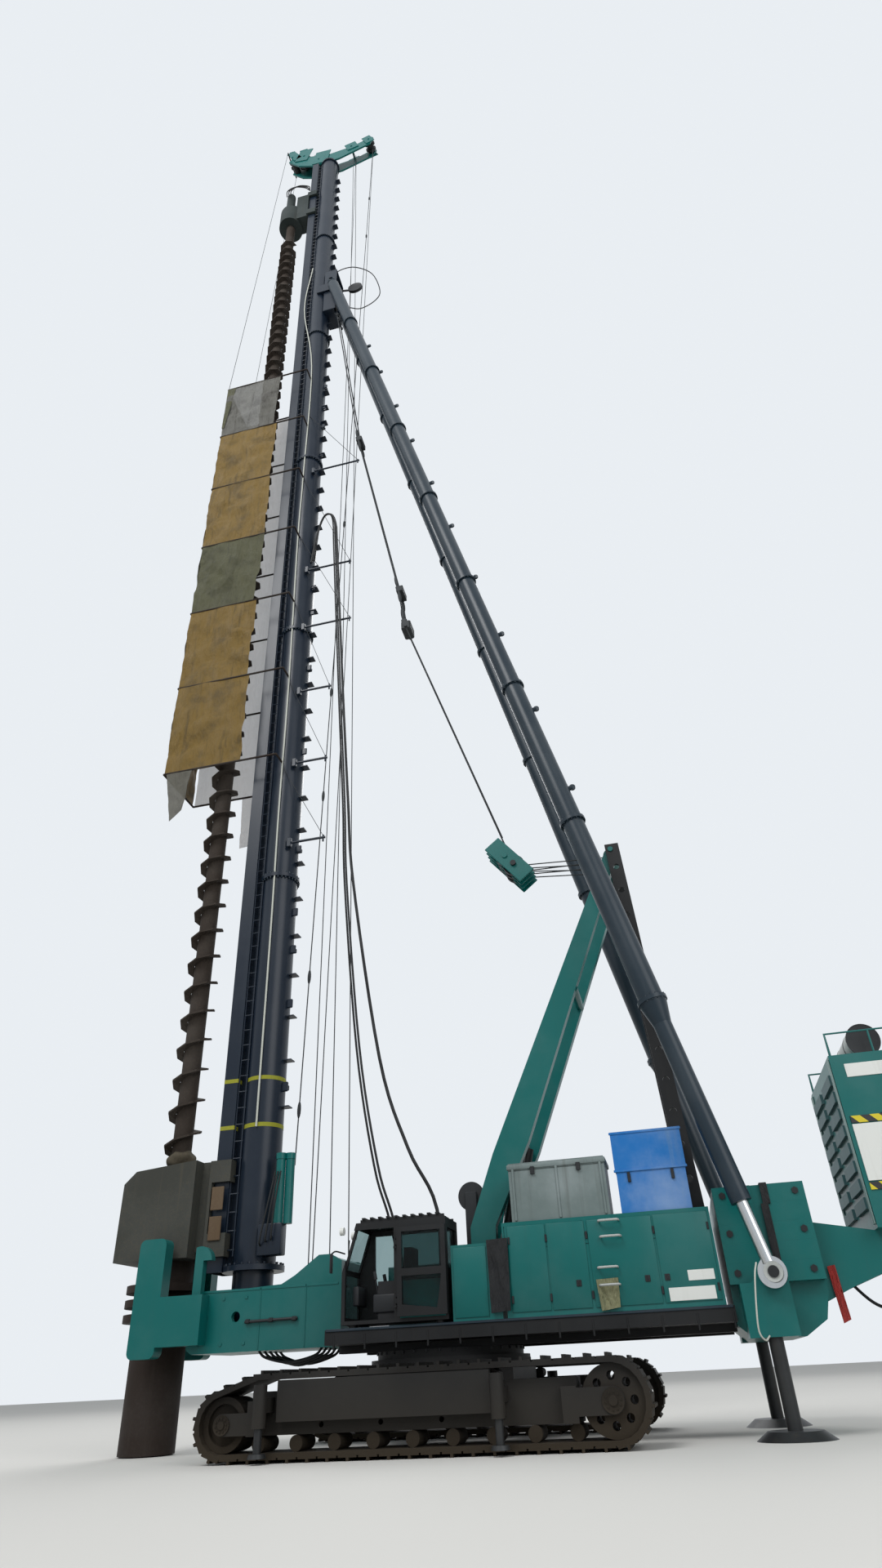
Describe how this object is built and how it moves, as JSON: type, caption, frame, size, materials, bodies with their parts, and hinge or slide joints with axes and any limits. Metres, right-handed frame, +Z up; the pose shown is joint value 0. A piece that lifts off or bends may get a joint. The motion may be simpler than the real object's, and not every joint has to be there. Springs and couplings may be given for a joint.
{
  "type": "crawler drilling and pile driving rig, 1:2 scale model",
  "caption": "Crawler rig with a tall tubular leader on back stays, a top drive with auger, a casing drive, a spoil guard, and a tail power pack. Scale model at 1:2.",
  "frame": {"origin": "on the ground under the centre of the bounding box, in the centre plane of the machine", "axes": "+X to the rear, -X to the front where the drill hangs, -Y to the operator's left, +Z up along the leader"},
  "size_m": [9.02, 3.324, 29.5],
  "materials": {
    "teal_paint": "worn satin paint",
    "slate_paint": "worn satin paint",
    "black_paint": "worn matt paint",
    "track_steel": "muddy bare steel",
    "rusty_steel": "rusted and muddy",
    "grey_paint": "dusty paint",
    "pale_paint": "dull paint",
    "blue_paint": "worn paint",
    "chrome_rod": "polished",
    "window_glass": "clear",
    "seat_cover": "matt",
    "tarpaulin": "faded tarpaulin"
  },
  "bodies": {
    "undercarriage": {"carbody": "black_paint", "track_frames": "black_paint", "track_left": "track_steel", "track_right": "track_steel", "track_wheels": "track_steel"},
    "upper": {"slew_deck": "black_paint", "front_bracket": "teal_paint", "casing_posts": "teal_paint", "cab_shell": "black_paint", "cab_glass": "window_glass", "cab_seat": "seat_cover", "cab_roof_guard": "black_paint", "engine_housing": "teal_paint", "front_tank": "teal_paint", "engine_block": "grey_paint", "roof_chest": "grey_paint", "blue_chests": "blue_paint", "counterweights": "teal_paint", "rear_body": "teal_paint", "pack_arm": "teal_paint", "power_pack": "teal_paint", "pack_louvres": "pale_paint", "pack_silencer": "pale_paint", "gantry_legs": "teal_paint", "gantry_struts": "black_paint", "gantry_head": "teal_paint", "gantry_cylinders": "chrome_rod"},
    "jack_front_left": {"jack_front_left": "chrome_rod"},
    "jack_front_right": {"jack_front_right": "chrome_rod"},
    "jack_back_left": {"jack_back_left": "chrome_rod"},
    "jack_back_right": {"jack_back_right": "chrome_rod"},
    "cab_door": {"cab_door": "black_paint", "door_glass": "window_glass"},
    "rear_jack_left": {"rear_jack_left": "chrome_rod"},
    "rear_jack_right": {"rear_jack_right": "chrome_rod"},
    "leader": {"leader_tube": "slate_paint", "leader_rails": "slate_paint", "cathead": "teal_paint", "cathead_sheaves": "black_paint", "guard_frame": "rusty_steel", "guard_front_sheet": "tarpaulin", "guard_side_sheets": "tarpaulin"},
    "stay_tube_left": {"stay_tube_left": "slate_paint"},
    "stay_tube_right": {"stay_tube_right": "slate_paint"},
    "stay_rod_left": {"stay_rod_left": "chrome_rod"},
    "stay_rod_right": {"stay_rod_right": "chrome_rod"},
    "top_drive": {"top_drive": "grey_paint"},
    "auger": {"auger_stem": "rusty_steel", "auger_flights": "rusty_steel"},
    "casing_drive": {"casing_drive": "grey_paint"},
    "casing": {"casing": "rusty_steel"}
  },
  "joints": [
    {"name": "slew", "type": "hinge", "parent": "undercarriage", "child": "upper", "pos_m": [-0.673, 0, 0.66], "axis": [0, 0, 1], "continuous": true},
    {"name": "jack_front_left_slide", "type": "slide", "parent": "undercarriage", "child": "jack_front_left", "axis": [0, 0, 1], "range_m": [-0.04, 0.1]},
    {"name": "jack_front_right_slide", "type": "slide", "parent": "undercarriage", "child": "jack_front_right", "axis": [0, 0, 1], "range_m": [-0.04, 0.1]},
    {"name": "jack_back_left_slide", "type": "slide", "parent": "undercarriage", "child": "jack_back_left", "axis": [0, 0, 1], "range_m": [-0.04, 0.1]},
    {"name": "jack_back_right_slide", "type": "slide", "parent": "undercarriage", "child": "jack_back_right", "axis": [0, 0, 1], "range_m": [-0.04, 0.1]},
    {"name": "cab_door_hinge", "type": "hinge", "parent": "upper", "child": "cab_door", "pos_m": [-0.95, -0.901, 1.03], "axis": [0, 0, -1], "range_deg": [0, 180]},
    {"name": "rear_jack_left_slide", "type": "slide", "parent": "upper", "child": "rear_jack_left", "axis": [0, 0, 1], "range_m": [0, 0.24]},
    {"name": "rear_jack_right_slide", "type": "slide", "parent": "upper", "child": "rear_jack_right", "axis": [0, 0, 1], "range_m": [0, 0.24]},
    {"name": "leader_tilt", "type": "hinge", "parent": "upper", "child": "leader", "pos_m": [-2.885, 0, 1.2], "axis": [0, 1, 0], "range_deg": [-1.5, 3]},
    {"name": "stay_left_pivot", "type": "hinge", "parent": "leader", "child": "stay_tube_left", "pos_m": [-2.365, -0.34, 21.3], "axis": [0, 1, 0], "range_deg": [-0.18, 0.09]},
    {"name": "stay_left_stroke", "type": "slide", "parent": "stay_tube_left", "child": "stay_rod_left", "axis": [0.2251, -0.0366, -0.9736], "range_m": [-0.27, 0.135]},
    {"name": "stay_right_pivot", "type": "hinge", "parent": "leader", "child": "stay_tube_right", "pos_m": [-2.365, 0.34, 21.3], "axis": [0, 1, 0], "range_deg": [-0.18, 0.09]},
    {"name": "stay_right_stroke", "type": "slide", "parent": "stay_tube_right", "child": "stay_rod_right", "axis": [0.2251, 0.0366, -0.9736], "range_m": [-0.27, 0.135]},
    {"name": "top_drive_slide", "type": "slide", "parent": "leader", "child": "top_drive", "axis": [0, 0, 1], "range_m": [-13.8, 1.4]},
    {"name": "auger_spin", "type": "hinge", "parent": "top_drive", "child": "auger", "pos_m": [-3.745, 0, 12], "axis": [0, 0, 1], "continuous": true},
    {"name": "casing_drive_slide", "type": "slide", "parent": "leader", "child": "casing_drive", "axis": [0, 0, 1], "range_m": [0, 9]},
    {"name": "casing_spin", "type": "hinge", "parent": "casing_drive", "child": "casing", "pos_m": [-3.745, 0, 0.9], "axis": [0, 0, 1], "continuous": true}
  ],
  "couplings": [
    {"joint": "stay_left_pivot", "follows": "leader_tilt", "ratio": -0.0575},
    {"joint": "stay_left_stroke", "follows": "leader_tilt", "m_per_rad": -5.0561},
    {"joint": "stay_right_pivot", "follows": "leader_tilt", "ratio": -0.0575},
    {"joint": "stay_right_stroke", "follows": "leader_tilt", "m_per_rad": -5.0561}
  ]
}
